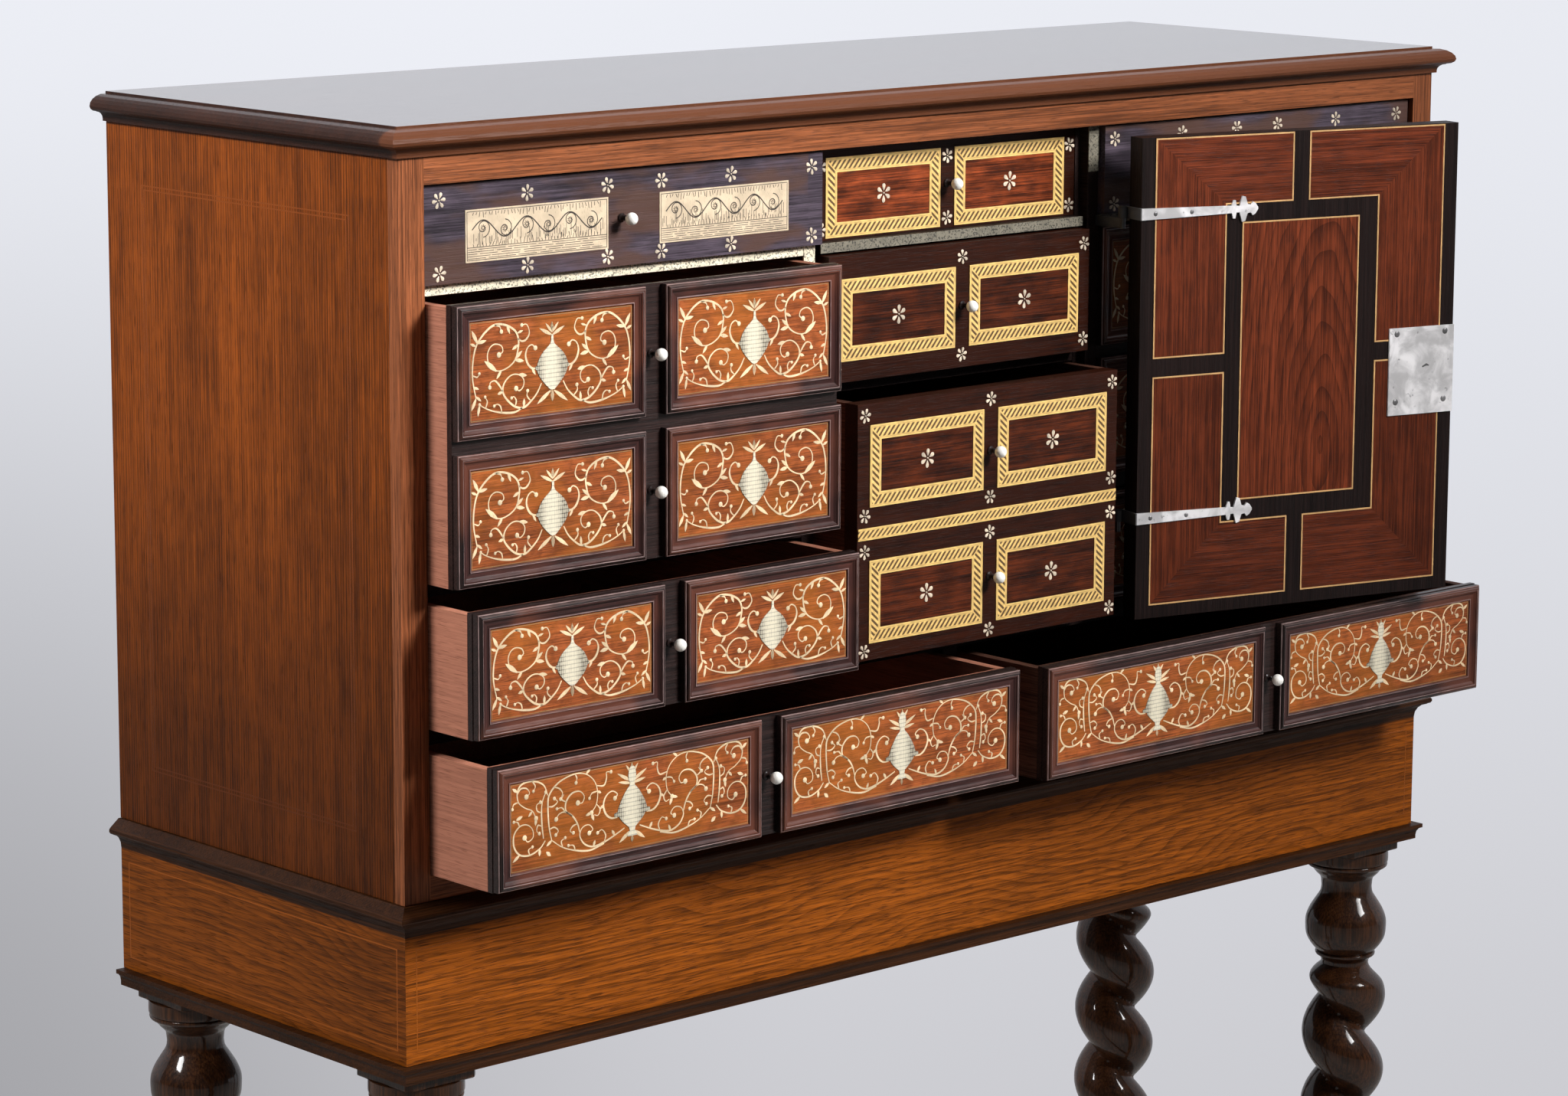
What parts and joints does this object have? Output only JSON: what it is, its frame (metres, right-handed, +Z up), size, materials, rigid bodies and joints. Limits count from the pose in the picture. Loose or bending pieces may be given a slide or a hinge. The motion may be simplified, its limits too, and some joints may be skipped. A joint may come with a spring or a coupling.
{
  "type": "drawer cabinet on stand",
  "caption": "Inlaid table cabinet of small drawers round a hinged centre door, on a stand with a deep apron, barley-twist legs and a stretcher.",
  "frame": {"origin": "middle of the footprint of the whole object as pictured, on the floor", "axes": "+Z up, the drawers and door face -Y, +X to the right of someone who faces the drawers"},
  "size_m": [1.129, 0.4692, 1.3046],
  "materials": {
    "case_wood": "polished veneer",
    "frame_wood": "polished",
    "inner_wood": "plain, unpolished",
    "bone_edge": "front edge faced with speckled bone",
    "ebony": "ebonised, waxed",
    "rosewood": "polished, inlaid",
    "cedar": "bare",
    "apron_wood": "polished veneer",
    "leg_wood": "dark, high polish",
    "bone": "polished",
    "steel": "bright, worn"
  },
  "bodies": {
    "cabinet": {"back_board": "inner_wood", "bottom_board": "inner_wood", "bottom_divider": "ebony", "divider_left": "bone_edge", "divider_right": "bone_edge", "dust_board": "ebony", "face_frame": "frame_wood", "leg_back_left": "leg_wood", "leg_back_right": "leg_wood", "leg_front_left": "leg_wood", "leg_front_right": "leg_wood", "pintle_lower": "steel", "pintle_upper": "steel", "shelf_centre_lower": "ebony", "shelf_centre_upper": "bone_edge", "shelf_left_lower": "ebony", "shelf_left_upper": "bone_edge", "shelf_right_lower": "ebony", "shelf_right_upper": "bone_edge", "side_left": "case_wood", "side_right": "case_wood", "stand_apron": "apron_wood", "stand_moulding": "leg_wood", "stretcher": "leg_wood", "top_board": "case_wood"},
    "door": {"door_panel": "rosewood", "strap_hinge_upper": "steel", "strap_hinge_lower": "steel", "lock_plate": "steel"},
    "top_left_drawer": {"drawer_top_left": "ebony", "knob_top_left": "bone"},
    "top_centre_drawer": {"drawer_top_centre": "rosewood", "knob_top_centre": "bone"},
    "top_right_drawer": {"drawer_top_right": "ebony", "knob_top_right": "bone"},
    "tall_left_drawer": {"drawer_tall_left": "cedar", "front_tall_left": "ebony", "knob_tall_left_1": "bone", "knob_tall_left_2": "bone"},
    "low_left_drawer": {"drawer_low_left": "cedar", "front_low_left": "ebony", "knob_low_left": "bone"},
    "centre_small_drawer": {"drawer_centre_small": "rosewood", "knob_centre_small": "bone"},
    "centre_tall_drawer": {"drawer_centre_tall": "rosewood", "knob_centre_tall_1": "bone", "knob_centre_tall_2": "bone"},
    "tall_right_drawer": {"drawer_tall_right": "cedar", "front_tall_right": "ebony", "knob_tall_right_1": "bone", "knob_tall_right_2": "bone"},
    "low_right_drawer": {"drawer_low_right": "cedar", "front_low_right": "ebony", "knob_low_right": "bone"},
    "bottom_left_drawer": {"drawer_bottom_left": "cedar", "front_bottom_left": "ebony", "knob_bottom_left": "bone"},
    "bottom_right_drawer": {"drawer_bottom_right": "cedar", "front_bottom_right": "ebony", "knob_bottom_right": "bone"}
  },
  "joints": [
    {"name": "door_hinge", "type": "hinge", "parent": "cabinet", "child": "door", "pos_m": [0.15715, -0.13814, 0], "axis": [0, 0, 1], "range_deg": [-42, 8]},
    {"name": "top_left_slide", "type": "slide", "parent": "cabinet", "child": "top_left_drawer", "axis": [0, -1, 0], "range_m": [0, 0.24]},
    {"name": "top_centre_slide", "type": "slide", "parent": "cabinet", "child": "top_centre_drawer", "axis": [0, -1, 0], "range_m": [0, 0.23]},
    {"name": "top_right_slide", "type": "slide", "parent": "cabinet", "child": "top_right_drawer", "axis": [0, -1, 0], "range_m": [0, 0.015]},
    {"name": "tall_left_slide", "type": "slide", "parent": "cabinet", "child": "tall_left_drawer", "axis": [0, -1, 0], "range_m": [-0.04, 0.2]},
    {"name": "low_left_slide", "type": "slide", "parent": "cabinet", "child": "low_left_drawer", "axis": [0, -1, 0], "range_m": [-0.061, 0.179]},
    {"name": "centre_small_slide", "type": "slide", "parent": "cabinet", "child": "centre_small_drawer", "axis": [0, -1, 0], "range_m": [-0.018, 0.212]},
    {"name": "centre_tall_slide", "type": "slide", "parent": "cabinet", "child": "centre_tall_drawer", "axis": [0, -1, 0], "range_m": [-0.0512, 0.1788]},
    {"name": "tall_right_slide", "type": "slide", "parent": "cabinet", "child": "tall_right_drawer", "axis": [0, -1, 0], "range_m": [0, 0.015]},
    {"name": "low_right_slide", "type": "slide", "parent": "cabinet", "child": "low_right_drawer", "axis": [0, -1, 0], "range_m": [0, 0.015]},
    {"name": "bottom_left_slide", "type": "slide", "parent": "cabinet", "child": "bottom_left_drawer", "axis": [0, -1, 0], "range_m": [-0.082, 0.158]},
    {"name": "bottom_right_slide", "type": "slide", "parent": "cabinet", "child": "bottom_right_drawer", "axis": [0, -1, 0], "range_m": [-0.0949, 0.1451]}
  ]
}
